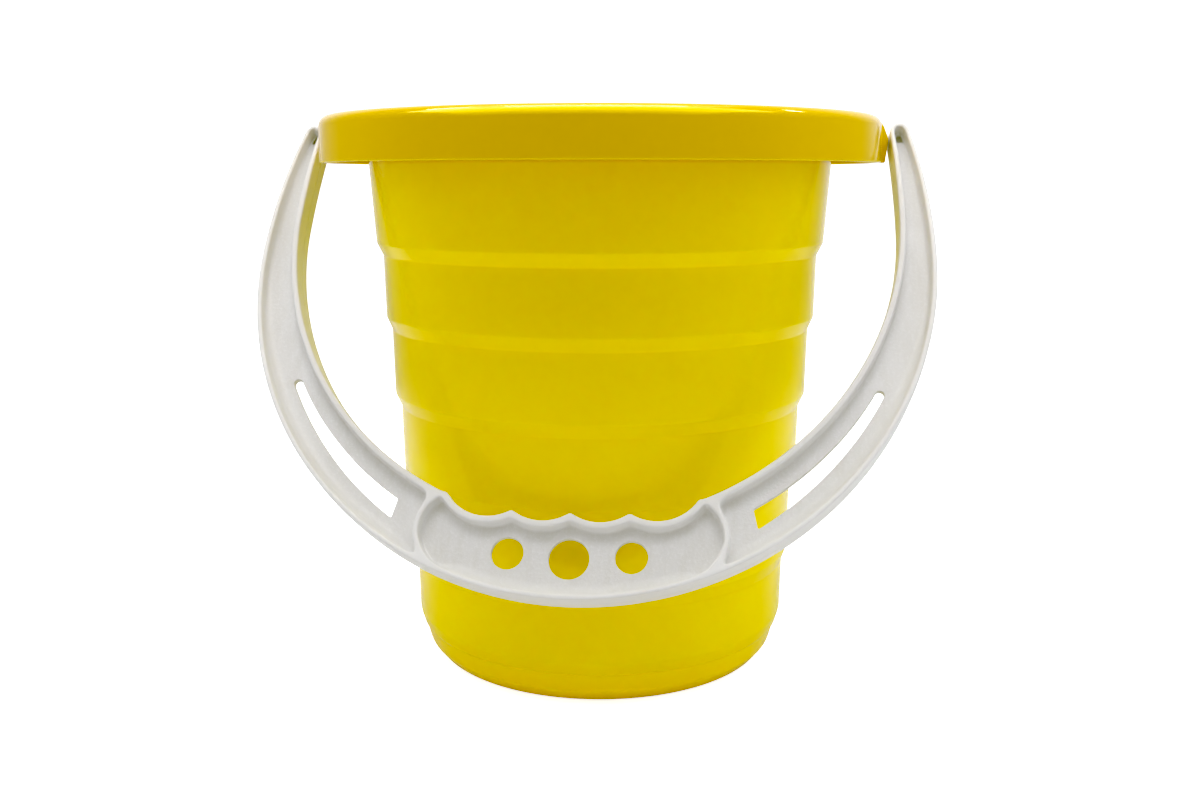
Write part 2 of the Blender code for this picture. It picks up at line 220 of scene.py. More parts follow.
def pail_section():
    """Closed (radius, height) section: from the rim's top down the outside, and up the inside.

    The third number of each corner is its rounding.
    """
    skirt_bottom = RIM_HEIGHT - SKIRT_DEPTH
    skirt_inside = RIM_RADIUS - SKIRT_THICKNESS
    under_rim = RIM_HEIGHT - RIM_THICKNESS
    tiers = tier_ends()
    outside = [
        (RIM_TOP_START, RIM_HEIGHT, 0),
        (RIM_RADIUS, RIM_HEIGHT, RIM_ROUNDING),
        (RIM_RADIUS, skirt_bottom, 0.0006),
        (skirt_inside, skirt_bottom, 0.0006),
        (skirt_inside, under_rim, 0.0015),
        (tiers[0][0], under_rim, 0.0012),
    ]
    outside += [(r, z, 0.0021) for r, z in tiers[1:-1]]
    outside += [
        (tiers[-1][0], tiers[-1][1], 0.0080),
        (FOOT_STEP_RADIUS, FOOT_STEP_HEIGHT, 0.0006),
        (FOOT_STEP_RADIUS - FOOT_STEP_IN, FOOT_STEP_HEIGHT - FOOT_STEP_DOWN, 0.0006),
        (*FOOT_CURVE, 0.0060),
        (STAND_RING[1], 0.0, 0.0030),
        (STAND_RING[0], 0.0, 0.0),
    ]
    gate_radius, gate_height = GATE_MARK
    base = [
        (STAND_RING[0], 0.0, 0.0),
        (STAND_RING[0] - 2 * BASE_RECESS, BASE_RECESS, 0.0006),
        (gate_radius, BASE_RECESS, 0.0003),
        (gate_radius - BASE_RECESS, gate_height, 0.0002),
        (0.0, gate_height, 0),
    ]
    inside = [(0.0, FLOOR, 0), (BASE_RADIUS + 0.0043, FLOOR, 0.0052)]
    inside += [(r - WALL, z, 0.0020) for r, z in tiers[:0:-1]]
    mouth = tiers[0][0] - WALL
    inside += [(mouth, RIM_HEIGHT, 0.0014), (RIM_TOP_START, RIM_HEIGHT, 0)]
    line = rounded(outside, 8)[:-1] + rounded(base, 4) + rounded(inside, 8)[:-1]
    return subdivided(line, LONGEST_FACE)


def ear_height(height):
    """How far the ear stands out of the skirt: most at the hinge, and nothing at the rim's top."""
    rising = smoothstep(RIM_HEIGHT - SKIRT_DEPTH, HINGE_HEIGHT, height)
    below = EAR_STANDS_OUT_BELOW + (EAR_STANDS_OUT - EAR_STANDS_OUT_BELOW) * rising
    above = smoothstep(RIM_HEIGHT - 0.0008, HINGE_HEIGHT + 0.0006, height)
    return np.where(height < HINGE_HEIGHT, below, EAR_STANDS_OUT * above)


def pail_turns():
    """Angles round the pail, closer together across the two ears."""
    across = spread(-EAR_HALF_WIDTH - EAR_MARGIN, EAR_HALF_WIDTH + EAR_MARGIN, EAR_STEPS)
    ear = [asin(y / RIM_RADIUS) for y in across]
    rest = spread(ear[-1], pi + ear[0], ROUND_STEPS)[1:-1]
    half = ear + rest
    return np.array(half + [turn + pi for turn in half])


def build_pail(material):
    section = pail_section()
    turns = pail_turns()
    count = len(turns)
    points, rings = [], []
    skirt_bottom = RIM_HEIGHT - SKIRT_DEPTH
    skirt_face = RIM_RADIUS - SKIRT_THICKNESS * 0.75  # the ears move only what is outside this
    for radius, height in section:
        if radius < 1e-6:
            rings.append([len(points)] * count)
            points.append((0.0, 0.0, height))
            continue
        x, y = radius * np.cos(turns), radius * np.sin(turns)
        if radius > skirt_face and height > skirt_bottom - 1e-6:
            # The ears: the skirt's face is flattened and moved outwards.
            share = 1 - smoothstep(EAR_FLAT, EAR_HALF_WIDTH + 0.0006, np.abs(y))
            part = smoothstep(skirt_face, RIM_RADIUS - 0.0002, radius)
            part = part if height < HINGE_HEIGHT else 1.0
            reach = radius - np.abs(x) + ear_height(height)
            x = x + np.sign(x) * share * reach * part
        rings.append(list(range(len(points), len(points) + count)))
        points += list(zip(x, y, [height] * count))
    faces = []
    for ring, following in zip(rings, rings[1:] + rings[:1]):
        for i in range(count):
            j = (i + 1) % count
            corners = list(dict.fromkeys((ring[i], ring[j], following[j], following[i])))
            if len(corners) > 2:
                faces.append(corners)
    pail = make_object("pail_shell", points, faces, material)
    cutter = pin_hole_cutter(material)
    holes = pail.modifiers.new("pin_holes", "BOOLEAN")
    holes.operation = "DIFFERENCE"
    holes.object = cutter
    keep_evaluated(pail)
    bpy.data.objects.remove(cutter)
    return pail


def keep_evaluated(obj):
    """Makes the modifiers' result the object's own mesh."""
    bpy.context.view_layer.update()
    made = bpy.data.meshes.new_from_object(obj.evaluated_get(bpy.context.evaluated_depsgraph_get()))
    obj.modifiers.clear()
    obj.data = made
    made.shade_smooth()
    made.set_sharp_from_angle(angle=radians(SHARP_ANGLE))


def turned_on_x(sections, sides, steps=48):
    """Points and faces of solids turned about the hinge line, from (x, radius) sections."""
    points, faces = [], []
    for side in sides:
        rings = []
        for x, radius in sections:
            rings.append(range(len(points), len(points) + steps))
            for i in range(steps):
                turn = tau * i / steps
                points.append((side * x, radius * cos(turn), HINGE_HEIGHT + radius * sin(turn)))
        for ring, following in zip(rings, rings[1:]):
            for i in range(steps):
                j = (i + 1) % steps
                faces.append((ring[i], ring[j], following[j], following[i]))
        faces += [tuple(rings[0]), tuple(rings[-1])]
    return points, faces


def pin_hole_cutter(material):
    points, faces = turned_on_x([(x, HOLE_RADIUS) for x in HOLE_CUT], (-1, 1))
    return make_object("pin_hole_cutter", points, faces, material)


def build_pins(material):
    sections = rounded(
        (
            (PIN_TIP, 0.0002, 0),
            (PIN_TIP, 0.0020, 0.0005),
            (PIN_TIP + PIN_HEAD_LENGTH * 0.55, PIN_HEAD_RADIUS, 0.0004),
            (PIN_TIP + PIN_HEAD_LENGTH, PIN_RADIUS, 0.0002),
            (PIN_ROOT, PIN_RADIUS, 0.0001),
            (PIN_ROOT + PIN_BURIED, PIN_RADIUS, 0),
        ),
        5,
    )
    pins = []
    for name, side in (("pin_left", -1), ("pin_right", 1)):
        points, faces = turned_on_x(sections, (side,))
        pins.append(make_object(name, points, faces, material))
    return pins


# ---------------------------------------------------------------- handle outlines


def ellipse_edge(edge, bottom=None, steps=220):
    half_width, widest, below, above = edge
    start = -asin(widest / above)
    end = pi / 2 if bottom is None else asin((bottom - widest) / below)
    angles = spread(start, end, steps)
    return [(half_width * cos(a), widest + (below if a > 0 else above) * sin(a)) for a in angles]


def recess_edge(side):
    """The recess's edge along the outer (1) or inner (-1) flange, which is thinner at the hinge."""
    edge, flange = (OUTER_EDGE, OUTER_FLANGE) if side > 0 else (INNER_EDGE, INNER_FLANGE)
    half_width, widest, below, _ = edge
    half_width, below = half_width - side * flange[0], below - side * flange[1]
    at_hinge = ellipse_edge(edge)[0][0] - side * FLANGE_AT_HINGE
    return half_width, widest, below, widest / sqrt(1 - (at_hinge / half_width) ** 2)


def mirrored(points):
    return [(-u, v) for u, v in reversed(points)]


def arm_end(border=0.0):
    """The rounded end over the hinge, that far inside the arm's edges."""
    outer = ellipse_edge(OUTER_EDGE)[0][0] - border
    inner = ellipse_edge(INNER_EDGE)[0][0] + border
    middle, half = (outer + inner) / 2, (outer - inner) / 2
    angles = spread(0.0, pi, 40)[1:-1]
    return [(middle + half * cos(a), -(ARM_END_RISE - border) * sin(a)) for a in angles]


def scallop_arcs():
    ends = (HORN,) + SCALLOP_TIPS
    return [(ends[i], SCALLOP_VALLEYS[i], ends[i + 1]) for i in range(2)]


def crescent_outline():
    outer = ellipse_edge(OUTER_EDGE)[::-1]
    inner = ellipse_edge(INNER_EDGE, bottom=HORN[1])
    scallops = []
    for first, valley, last in scallop_arcs():
        scallops += arc_through(first, valley, last)[:-1]
    right = outer + arm_end() + inner + scallops
    return right + [SCALLOP_TIPS[-1]] + mirrored(right)[:-1]


def arc_about(centre, radius, first, last, steps=60):
    """The arc about a centre between the directions of two points."""
    start, end = (atan2(p[1] - centre[1], p[0] - centre[0]) for p in (first, last))
    turns = spread(start, end, steps)
    return [(centre[0] + radius * cos(turn), centre[1] + radius * sin(turn)) for turn in turns]


def scallop_wall(u):
    reaches = []
    for arc in scallop_arcs():
        (centre_u, centre_v), radius = circle_through(*arc)
        for side in (-1, 1):
            room = (radius + GRIP_FLANGE) ** 2 - (u - side * centre_u) ** 2
            if room > 0:
                reaches.append(centre_v + sqrt(room))
    return max(reaches)


def grip_pocket():
    rib = arc_about(*circle_through(*RIB_ARC), RIB_ARC[0], RIB_ARC[2])
    upper_end, upper_top = rib[0]
    upper = [(u, max(scallop_wall(u), upper_top)) for u in spread(-upper_end, upper_end, 500)]
    half_width, widest, below, _ = recess_edge(1)
    lower_end = rib[-1][0]
    lower_us = spread(lower_end, -lower_end, 240)
    lower = [(u, widest + below * sqrt(1 - (u / half_width) ** 2)) for u in lower_us]
    return upper + rib[1:-1] + lower + mirrored(rib[1:-1])


def arm_pocket():
    """The right arm's recess: between the flanges, from the rounded end down to the rib."""
    centre, radius = circle_through(*RIB_ARC)
    reach = radius + RIB_THICKNESS

    def down_to_rib(line):
        kept = []
        for before, here in zip(line, line[1:]):
            kept.append(before)
            near = hypot(here[0] - centre[0], here[1] - centre[1])
            if near < reach and here[0] > centre[0]:
                far = hypot(before[0] - centre[0], before[1] - centre[1])
                share = (far - reach) / (far - near)
                u, v = (before[k] + (here[k] - before[k]) * share for k in (0, 1))
                kept.append((u, v))
                break
        return kept

    outer = down_to_rib(ellipse_edge(recess_edge(1), steps=500))
    inner = down_to_rib(ellipse_edge(recess_edge(-1), steps=500))
    rib = arc_about(centre, reach, inner[-1], outer[-1])
    return outer[::-1] + arm_end(FLANGE_AT_HINGE) + inner + rib[1:-1]


def slot():
    inner = arc_through(*SLOT_INNER)
    outer = arc_through(*SLOT_OUTER)
    centre = ((inner[0][0] + outer[0][0]) / 2, (inner[0][1] + outer[0][1]) / 2)
    across = (outer[0][0] - centre[0], outer[0][1] - centre[1])
    cap = []
    for turn in spread(0.0, -pi, 24)[1:-1]:
        u = across[0] * cos(turn) - across[1] * sin(turn)
        v = across[0] * sin(turn) + across[1] * cos(turn)
        cap.append((centre[0] + u, centre[1] + v))
    return outer[::-1] + cap + inner


def circle(u, v, radius, steps=64):
    turns = [tau * i / steps for i in range(steps)]
    return [(u + radius * cos(turn), v + radius * sin(turn)) for turn in turns]


def core_square():
    core_u = (ellipse_edge(OUTER_EDGE)[0][0] + ellipse_edge(INNER_EDGE)[0][0]) / 2
    h = CORE_HOLE_HALF
    return [(core_u - h, -h), (core_u + h, -h), (core_u + h, h), (core_u - h, h)]


def evened(outline, spacing, rounds):
    """The closed outline with evenly spaced points, and its corners softened a little."""
    line = np.array(outline, float)
    closed = np.vstack([line, line[:1]])
    lengths = np.r_[0, np.cumsum(np.hypot(*np.diff(closed, axis=0).T))]
    count = max(12, int(round(lengths[-1] / spacing)))
    places = np.arange(count) * lengths[-1] / count
    line = np.stack([np.interp(places, lengths, closed[:, k]) for k in (0, 1)], axis=1)
    for _ in range(rounds):
        line = (np.roll(line, 1, 0) + 2 * line + np.roll(line, -1, 0)) / 4
    area = np.sum(line[:, 0] * np.roll(line[:, 1], -1) - np.roll(line[:, 0], -1) * line[:, 1])
    return line if area > 0 else line[::-1]


def softened(line, level, rounds):
    """The closed outline with its corners below a level rounded widely."""
    smooth = line
    for _ in range(rounds):
        smooth = (np.roll(smooth, 1, 0) + 2 * smooth + np.roll(smooth, -1, 0)) / 4
    return line + (smooth - line) * smoothstep(level - 0.006, level + 0.006, line[:, 1])[:, None]


def inset(line, distance):
    """The closed outline moved inwards by a distance, which may differ from point to point."""
    along = np.roll(line, -1, 0) - np.roll(line, 1, 0)
    along /= np.linalg.norm(along, axis=1)[:, None]
    before = line - np.roll(line, 1, 0)
    before /= np.linalg.norm(before, axis=1)[:, None]
    lean = np.clip(np.abs(np.sum(before * along, axis=1)), 0.6, 1)
    inwards = np.stack([-along[:, 1], along[:, 0]], axis=1)
    return line + inwards * (np.asarray(distance) / lean)[:, None]


# ---------------------------------------------------------------- handle mesh


class Shell:
    """Collects rings of points and the faces between them."""

    def __init__(self):
        self.points, self.faces, self.grain = [], [], []

    def ring(self, line, depths, grain=0.0):
        first = len(self.points)
        depths = np.broadcast_to(depths, len(line))
        self.points += [(u, w, -v) for (u, v), w in zip(line, depths)]
        self.grain += [grain] * len(line)
        return list(range(first, len(self.points)))

    def bridge(self, rings):
        for ring, following in zip(rings, rings[1:]):
            for i in range(len(ring)):
                j = (i + 1) % len(ring)
                self.faces.append((ring[i], ring[j], following[j], following[i]))

    def fill(self, rings):
        """Fills between an outer ring and the rings inside it, which all lie flat."""
        order = [i for ring in rings for i in ring]
        flat = [Vector((x, z, 0)) for x, _, z in self.points]
        loops = [[flat[i] for i in ring] for ring in rings]
        self.faces += [tuple(order[k] for k in triangle) for triangle in tessellate_polygon(loops)]


def outer_wall_rows():
    """(distance inwards, depth) of the handle's outside, from its front face to its back one."""
    half = []
    for a in spread(0.0, pi / 2, 5):
        rise = EDGE_ROUNDING * (1 - sin(a))
        half.append((OUTSIDE_DRAFT + rise, -(HALF_DEPTH - EDGE_ROUNDING * (1 - cos(a)))))
    half += [
        (OUTSIDE_DRAFT * 0.72, -0.0020),
        (0.00004, -0.00030),
        (0.00002, -0.00024),
        (PARTING_GROOVE, -0.00006),
    ]
    return half + [(d, -w) for d, w in reversed(half)]


def cove_reach(line):
    """How far the rounding at the wall's foot reaches in: widest along the outer flange."""
    half_width, widest, below, above = recess_edge(1)
    reach = np.where(line[:, 1] > widest, below, above)
    ratio = np.hypot(line[:, 0] / half_width, (line[:, 1] - widest) / reach)
    weight = (ratio > 0.994).astype(float)
    for _ in range(5):
        weight = np.minimum(weight, np.minimum(np.roll(weight, 1), np.roll(weight, -1)))
    for _ in range(24):
        weight = (np.roll(weight, 1) + 2 * weight + np.roll(weight, -1)) / 4
    widening = ARM_COVE + (GRIP_COVE - ARM_COVE) * smoothstep(0.055, 0.125, line[:, 1])
    return FOOT_OF_WALL + (widening - FOOT_OF_WALL) * weight * smoothstep(0.004, 0.030, line[:, 1])


def pocket_rows(reach, side):
    """(distance inwards, depth, grain) of a pocket's wall, from the flange's face to the web."""
    rows = []
    rise = np.minimum(reach, (HALF_DEPTH - HALF_WEB - EDGE_ROUNDING) * 0.92)
    for a in spread(0.0, pi / 2, 5):
        rows.append((-EDGE_ROUNDING * (1 - sin(a)), HALF_DEPTH - EDGE_ROUNDING * (1 - cos(a)), 0.0))
    lowest = HALF_WEB + rise
    rows.append((WALL_DRAFT * 0.5, (HALF_DEPTH - EDGE_ROUNDING + lowest) / 2, 0.0))
    for a in spread(0.0, pi / 2, 9):
        rows.append((WALL_DRAFT + reach * (1 - cos(a)), lowest - rise * sin(a), 0.5 * a))
    return [(d, side * w, g) for d, w, g in rows]


def build_handle(material):
    shell = Shell()
    outline = evened(crescent_outline(), SPACING, 1)
    outside = [shell.ring(inset(outline, d), w) for d, w in outer_wall_rows()]
    shell.bridge(outside)
    right = softened(evened(arm_pocket(), SPACING, 3), *ARM_SOFTENING)
    left = evened(mirrored(right), SPACING, 0)
    grip = softened(evened(grip_pocket(), SPACING, 3), *GRIP_SOFTENING)
    pockets = (grip, right, left)
    slot_line = evened(slot(), OPENING_SPACING, 1)
    core_line = evened(core_square(), CORE_SPACING, 1)
    # For each pocket: its openings' outlines, and whether each is closed at the back by a skin.
    openings = [[(circle(*hole), False) for hole in GRIP_HOLES]]
    openings += [[(slot_line, False), (core_line, True)]]
    openings += [[(mirrored(slot_line), False), (mirrored(core_line), True)]]
    floors = {-1: [], 1: []}
    for side, face_ring in ((-1, outside[0]), (1, outside[-1])):
        rims = []
        for line in pockets:
            rows = pocket_rows(cove_reach(line), side)
            rings = [shell.ring(inset(line, d), w, g) for d, w, g in rows]
            shell.bridge(rings)
            rims.append(rings[0])
            floors[side].append(rings[-1])
        shell.fill([face_ring] + rims)
    for index, lines in enumerate(openings):
        edges = {-1: [], 1: []}
        for outline, blind in lines:
            line = evened(outline, OPENING_SPACING, 0)
            lip, bevel = OPENING_LIP, OPENING_LIP * 0.3
            rows = [(-lip, -HALF_WEB), (-bevel, -HALF_WEB + bevel), (0, -HALF_WEB + lip)]
            if blind:
                rows.append((CORE_TAPER, HALF_WEB - CORE_SKIN))
            else:
                rows += [(d, -w) for d, w in reversed(rows)]
            rings = [shell.ring(inset(line, d), w, 1.0) for d, w in rows]
            shell.bridge(rings)
            edges[-1].append(rings[0])
            if blind:
                shell.fill([rings[-1]])
            else:
                edges[1].append(rings[-1])
        for side in (-1, 1):
            shell.fill([floors[side][index]] + edges[side])
    handle = make_object("bail_handle", shell.points, shell.faces, material, 50.0)
    grain = handle.data.attributes.new("grain", "FLOAT", "POINT")
    grain.data.foreach_set("value", np.clip(np.array(shell.grain, np.float32), 0, 1))
    to_hinge = Matrix.Translation((0, 0, HINGE_HEIGHT))
    handle.matrix_world = to_hinge @ Matrix.Rotation(-REST_LEAN, 4, "X")
    even_normals(handle)
    return handle


# ---------------------------------------------------------------- materials


class Nodes:
    """Short ways to add shader nodes and join them."""

    def __init__(self, name):
        self.material = bpy.data.materials.new(name)
        self.material.use_nodes = True
        self.tree = self.material.node_tree
        self.shader = self.tree.nodes["Principled BSDF"]

    def add(self, kind, **settings):
        node = self.tree.nodes.new(kind)
        for key, value in settings.items():
            setattr(node, key, value)
        return node

    def join(self, source, target):
        self.tree.links.new(source, target)

    def place(self, scale=(1, 1, 1), rotation=(0, 0, 0)):
        """Object coordinates, scaled and turned."""
        coordinates = self.add("ShaderNodeTexCoord")
        mapping = self.add("ShaderNodeMapping")
        mapping.inputs["Scale"].default_value = scale
        mapping.inputs["Rotation"].default_value = rotation
        self.join(coordinates.outputs["Object"], mapping.inputs["Vector"])
        return mapping.outputs["Vector"]

    def noise(self, where, scale, detail=3.0, roughness=0.5):
        node = self.add("ShaderNodeTexNoise")
        node.inputs["Scale"].default_value = scale
        node.inputs["Detail"].default_value = detail
        node.inputs["Roughness"].default_value = roughness
        self.join(where, node.inputs["Vector"])
        return node.outputs["Fac"]

    def ramp(self, value, low, high, to_low=0.0, to_high=1.0):
        node = self.add("ShaderNodeMapRange")
        node.inputs["From Min"].default_value = low
        node.inputs["From Max"].default_value = high
        node.inputs["To Min"].default_value = to_low
        node.inputs["To Max"].default_value = to_high
        self.join(value, node.inputs["Value"])
        return node.outputs["Result"]

    def calc(self, operation, a, b):
        node = self.add("ShaderNodeMath", operation=operation)
        for socket, value in zip(node.inputs, (a, b)):
            if isinstance(value, (int, float)):
                socket.default_value = value
            else:
                self.join(value, socket)
        return node.outputs["Value"]

    def blend(self, factor, first, second):
        node = self.add("ShaderNodeMix", data_type="RGBA")
        sockets = (node.inputs[0], node.inputs[6], node.inputs[7])  # factor, and the two colours
        for socket, value in zip(sockets, (factor, first, second)):
            if isinstance(value, (int, float)):
                socket.default_value = value
            elif isinstance(value, tuple):
                socket.default_value = (*value, 1.0)
            else:
                self.join(value, socket)
        return node.outputs[2]

    def bump(self, height, distance, strength, after=None):
        node = self.add("ShaderNodeBump")
        node.inputs["Strength"].default_value = strength
        node.inputs["Distance"].default_value = distance
        self.join(height, node.inputs["Height"])
        if after is not None:
            self.join(after, node.inputs["Normal"])
        return node.outputs["Normal"]


# Base colours, in linear light
WALL_YELLOWS = (0.795, 0.667, 0.0), (0.820, 0.697, 0.0)
# Painted shade: the darker, deeper yellow laid on the skirt and on the foot, where less light
# reaches.
PAINTED_SHADE_YELLOW = (0.78, 0.50, 0.0)
SPECK_YELLOW = (0.72, 0.50, 0.0)
RUBBED_YELLOW = (0.90, 0.76, 0.20)
HANDLE_WHITES = (0.740, 0.734, 0.716), (0.775, 0.772, 0.762)
STREAK_GREY = (0.60, 0.585, 0.53)
SPECK_WHITE = (0.93, 0.93, 0.93)
POLYPROPYLENE_IOR = 1.49


def scratches(nodes, where, scale, threshold):
    """Fine lines: 1 on a scratch and 0 off it."""
    node = nodes.add("ShaderNodeTexVoronoi", feature="DISTANCE_TO_EDGE")
    node.inputs["Scale"].default_value = scale
    nodes.join(where, node.inputs["Vector"])
    return nodes.ramp(node.outputs["Distance"], 0.0, threshold, 1.0, 0.0)


def yellow_plastic():
    nodes = Nodes("yellow_gloss")
    shader = nodes.shader
    plain = nodes.place()
    broad = nodes.noise(plain, 9.0, 3.0, 0.55)
    fine = nodes.noise(plain, 140.0, 4.0, 0.6)
    colour = nodes.blend(nodes.ramp(broad, 0.3, 0.7), *WALL_YELLOWS)
    # Painted shade: the skirt is painted a deeper yellow, since with the wall close behind it less
    # light comes through.
    height = nodes.add("ShaderNodeSeparateXYZ")
    nodes.join(plain, height.inputs["Vector"])
    skirt_bottom = RIM_HEIGHT - SKIRT_DEPTH
    rim = nodes.ramp(height.outputs["Z"], skirt_bottom - 0.001, skirt_bottom + 0.001)
    colour = nodes.blend(rim, colour, PAINTED_SHADE_YELLOW)
    # Painted shade: the foot is painted deeper too, most at the floor, where less light reaches it.
    foot = nodes.ramp(height.outputs["Z"], 0.0, FOOT_HEIGHT, 0.70, 0.0)
    colour = nodes.blend(foot, colour, PAINTED_SHADE_YELLOW)
    colour = nodes.blend(nodes.ramp(fine, 0.45, 0.75, 0.0, 0.08), colour, SPECK_YELLOW)
    # Rub marks run mostly up and down the walls.
    patches = nodes.ramp(nodes.noise(plain, 22.0, 2.0), 0.52, 0.70)
    rubs = scratches(nodes, nodes.place((1.0, 1.0, 0.16), (0.1, 0.05, 0.4)), 130.0, 0.018)
    rubs = nodes.calc("MULTIPLY", rubs, patches)
    colour = nodes.blend(nodes.calc("MULTIPLY", rubs, 0.05), colour, RUBBED_YELLOW)
    nodes.join(colour, shader.inputs["Base Color"])
    rough = nodes.ramp(nodes.noise(plain, 30.0, 5.0, 0.65), 0.3, 0.75, 0.10, 0.20)
    rough = nodes.calc("SUBTRACT", rough, nodes.calc("MULTIPLY", rim, 0.05))
    rough = nodes.calc("ADD", rough, nodes.calc("MULTIPLY", rubs, 0.08))
    nodes.join(rough, shader.inputs["Roughness"])
    shader.inputs["IOR"].default_value = POLYPROPYLENE_IOR
    shader.inputs["Specular IOR Level"].default_value = 0.5
    shader.inputs["Specular Tint"].default_value = (1.0, 0.90, 0.08, 1.0)
    nodes.join(nodes.calc("SUBTRACT", 1.0, rim), shader.inputs["Subsurface Weight"])
    shader.inputs["Subsurface Radius"].default_value = (1.0, 0.85, 0.1)
    shader.inputs["Subsurface Scale"].default_value = 0.004
    waves = nodes.noise(nodes.place((1.0, 1.0, 0.35)), 26.0, 2.0, 0.4)
    normal = nodes.bump(waves, 0.0004, 0.16)
    normal = nodes.bump(fine, 0.00006, 0.10, normal)
    normal = nodes.bump(rubs, 0.00002, 0.10, normal)
    nodes.join(normal, shader.inputs["Normal"])
    return nodes.material


def white_plastic():
    nodes = Nodes("white_satin")
    shader = nodes.shader
    plain = nodes.place()
    grain = nodes.add("ShaderNodeAttribute", attribute_name="grain").outputs["Fac"]
    broad = nodes.noise(plain, 16.0, 3.0, 0.55)
    speck = nodes.noise(plain, 850.0, 3.0, 0.7)
    streaks = nodes.noise(nodes.place((1.0, 1.0, 0.25), (0, 0.5, 0)), 260.0, 4.0, 0.65)
    colour = nodes.blend(nodes.ramp(broad, 0.3, 0.7), *HANDLE_WHITES)
    # The recesses are rougher: streaked, and with pale specks.
    marks = nodes.calc("MULTIPLY", nodes.ramp(streaks, 0.45, 0.75, 0.26, 0.60), grain)
    colour = nodes.blend(marks, colour, STREAK_GREY)
    share = nodes.calc("MULTIPLY", grain, 0.22)
    lights = nodes.calc("MULTIPLY", nodes.ramp(speck, 0.50, 0.66), share)
    colour = nodes.blend(lights, colour, SPECK_WHITE)
    nodes.join(colour, shader.inputs["Base Color"])
    rough = nodes.ramp(nodes.noise(plain, 60.0, 4.0, 0.6), 0.3, 0.7, 0.34, 0.46)
    rough = nodes.calc("ADD", rough, nodes.calc("MULTIPLY", grain, 0.08))
    nodes.join(rough, shader.inputs["Roughness"])
    shader.inputs["IOR"].default_value = POLYPROPYLENE_IOR
    shader.inputs["Specular IOR Level"].default_value = 0.12
    shader.inputs["Subsurface Weight"].default_value = 0.3
    shader.inputs["Subsurface Radius"].default_value = (1.0, 0.97, 0.9)
    shader.inputs["Subsurface Scale"].default_value = 0.0012
    share = nodes.calc("ADD", nodes.calc("MULTIPLY", grain, 0.8), 0.2)
    height = nodes.calc("MULTIPLY", speck, share)
    normal = nodes.bump(height, 0.00030, 0.7)
    normal = nodes.bump(streaks, 0.00006, 0.3, normal)
    nodes.join(normal, shader.inputs["Normal"])
    return nodes.material


# ---------------------------------------------------------------- studio

LIGHT_SIDE = (0.0, 0.8, 0.6)
ROOM_LIGHT = (
    (0.0, (0.40, 0.365, 0.34)),
    (0.12, (0.40, 0.365, 0.34)),
    (0.33, (0.40, 0.39, 0.38)),
    (0.5, (0.60, 0.61, 0.61)),
    (0.8, (0.56, 0.57, 0.57)),
    (0.92, (1.10, 1.10, 1.10)),
)
PAPER = (0.90, 0.92)  # the darkest and palest grey of white paper
TABLE_PAPER = (0.54, 0.56)
# name, height, radius, seen by the camera, paper, glow
FLOORS = (
    ("studio_floor", -0.0002, 6.0, True, "paper_white", PAPER, 0.75),
    ("studio_table", -0.0004, 0.6, False, "paper_table", TABLE_PAPER, 0.08),
)
BACKDROP_RADIUS = 5.9
BACKDROP_GLOW = 1.1
CEILING = 1.1  # height
CEILING_Y, CEILING_SIZE, CEILING_POWER = -0.10, (0.9, 0.9), 8.1
WINDOW_PLACE = (0.75, 0.10, 0.42)
WINDOW_SIZE, WINDOW_POWER, WINDOW_COLOUR = (0.5, 0.6), 1.65, (0.97, 1.0, 0.98)
# Panes: x, y, half width, half length
PANELS = (
    ("studio_panel", (0.0, -0.45, 1.2, 0.45), 9.0),
    ("studio_panel_edge", (0.0, -1.2, 1.6, 0.30), 4.5),
    ("studio_panel_rim", (0.0, -2.0, 2.2, 0.50), 2.2),
)
ROW_SPAN, ROW_GAPS, ROW_GLOW = (-0.32, 0.30), 41, 40.0
ROW_BAR = (0.02, 0.004, 0.10)  # all of a pane but its x
ROW_ENDS = ((-0.62, 0.07, 0.14, 0.04), (0.90, 0.36, 0.14, 0.04))


def set_world():
    """A soft room: bright above and behind the object, dimmer and warmer on the camera's side."""
    world = bpy.data.worlds.new("studio")
    world.use_nodes = True
    bpy.context.scene.world = world
    tree = world.node_tree
    background = tree.nodes["Background"]
    where = tree.nodes.new("ShaderNodeTexCoord")
    facing = tree.nodes.new("ShaderNodeVectorMath")
    facing.operation = "DOT_PRODUCT"
    facing.inputs[1].default_value = LIGHT_SIDE
    tree.links.new(where.outputs["Generated"], facing.inputs[0])
    shift = tree.nodes.new("ShaderNodeMapRange")
    shift.inputs["From Min"].default_value = -1.0
    tree.links.new(facing.outputs["Value"], shift.inputs["Value"])
    ramp = tree.nodes.new("ShaderNodeValToRGB")
    tree.links.new(shift.outputs["Result"], ramp.inputs["Fac"])
    tree.links.new(ramp.outputs["Color"], background.inputs["Color"])
    elements = ramp.color_ramp.elements
    while len(elements) < len(ROOM_LIGHT):
        elements.new(0.5)
    for element, (position, colour) in zip(elements, ROOM_LIGHT):
        element.position = position
        element.color = (*colour, 1.0)


def paper(name, greys, glow):
    """Studio paper: nearly even white, which may glow as if lit from behind."""
    nodes = Nodes(name)
    mist = nodes.noise(nodes.place(), 2.0)
    dark, pale = ((grey,) * 3 for grey in greys)
    nodes.join(nodes.blend(mist, dark, pale), nodes.shader.inputs["Base Color"])
    nodes.shader.inputs["Roughness"].default_value = 0.8
    nodes.shader.inputs["Emission Color"].default_value = (1, 1, 1, 1)
    nodes.shader.inputs["Emission Strength"].default_value = glow
    return nodes.material


def add_area(name, location, target, size, power, colour=(1, 1, 1)):
    data = bpy.data.lights.new(name, "AREA")
    data.shape = "RECTANGLE"
    data.size, data.size_y = size
    data.energy = power
    data.color = colour
    light = bpy.data.objects.new(name, data)
    light.location = location
    light.rotation_euler = (Vector(target) - Vector(location)).to_track_quat("-Z", "Y").to_euler()
    bpy.context.scene.collection.objects.link(light)
    return light


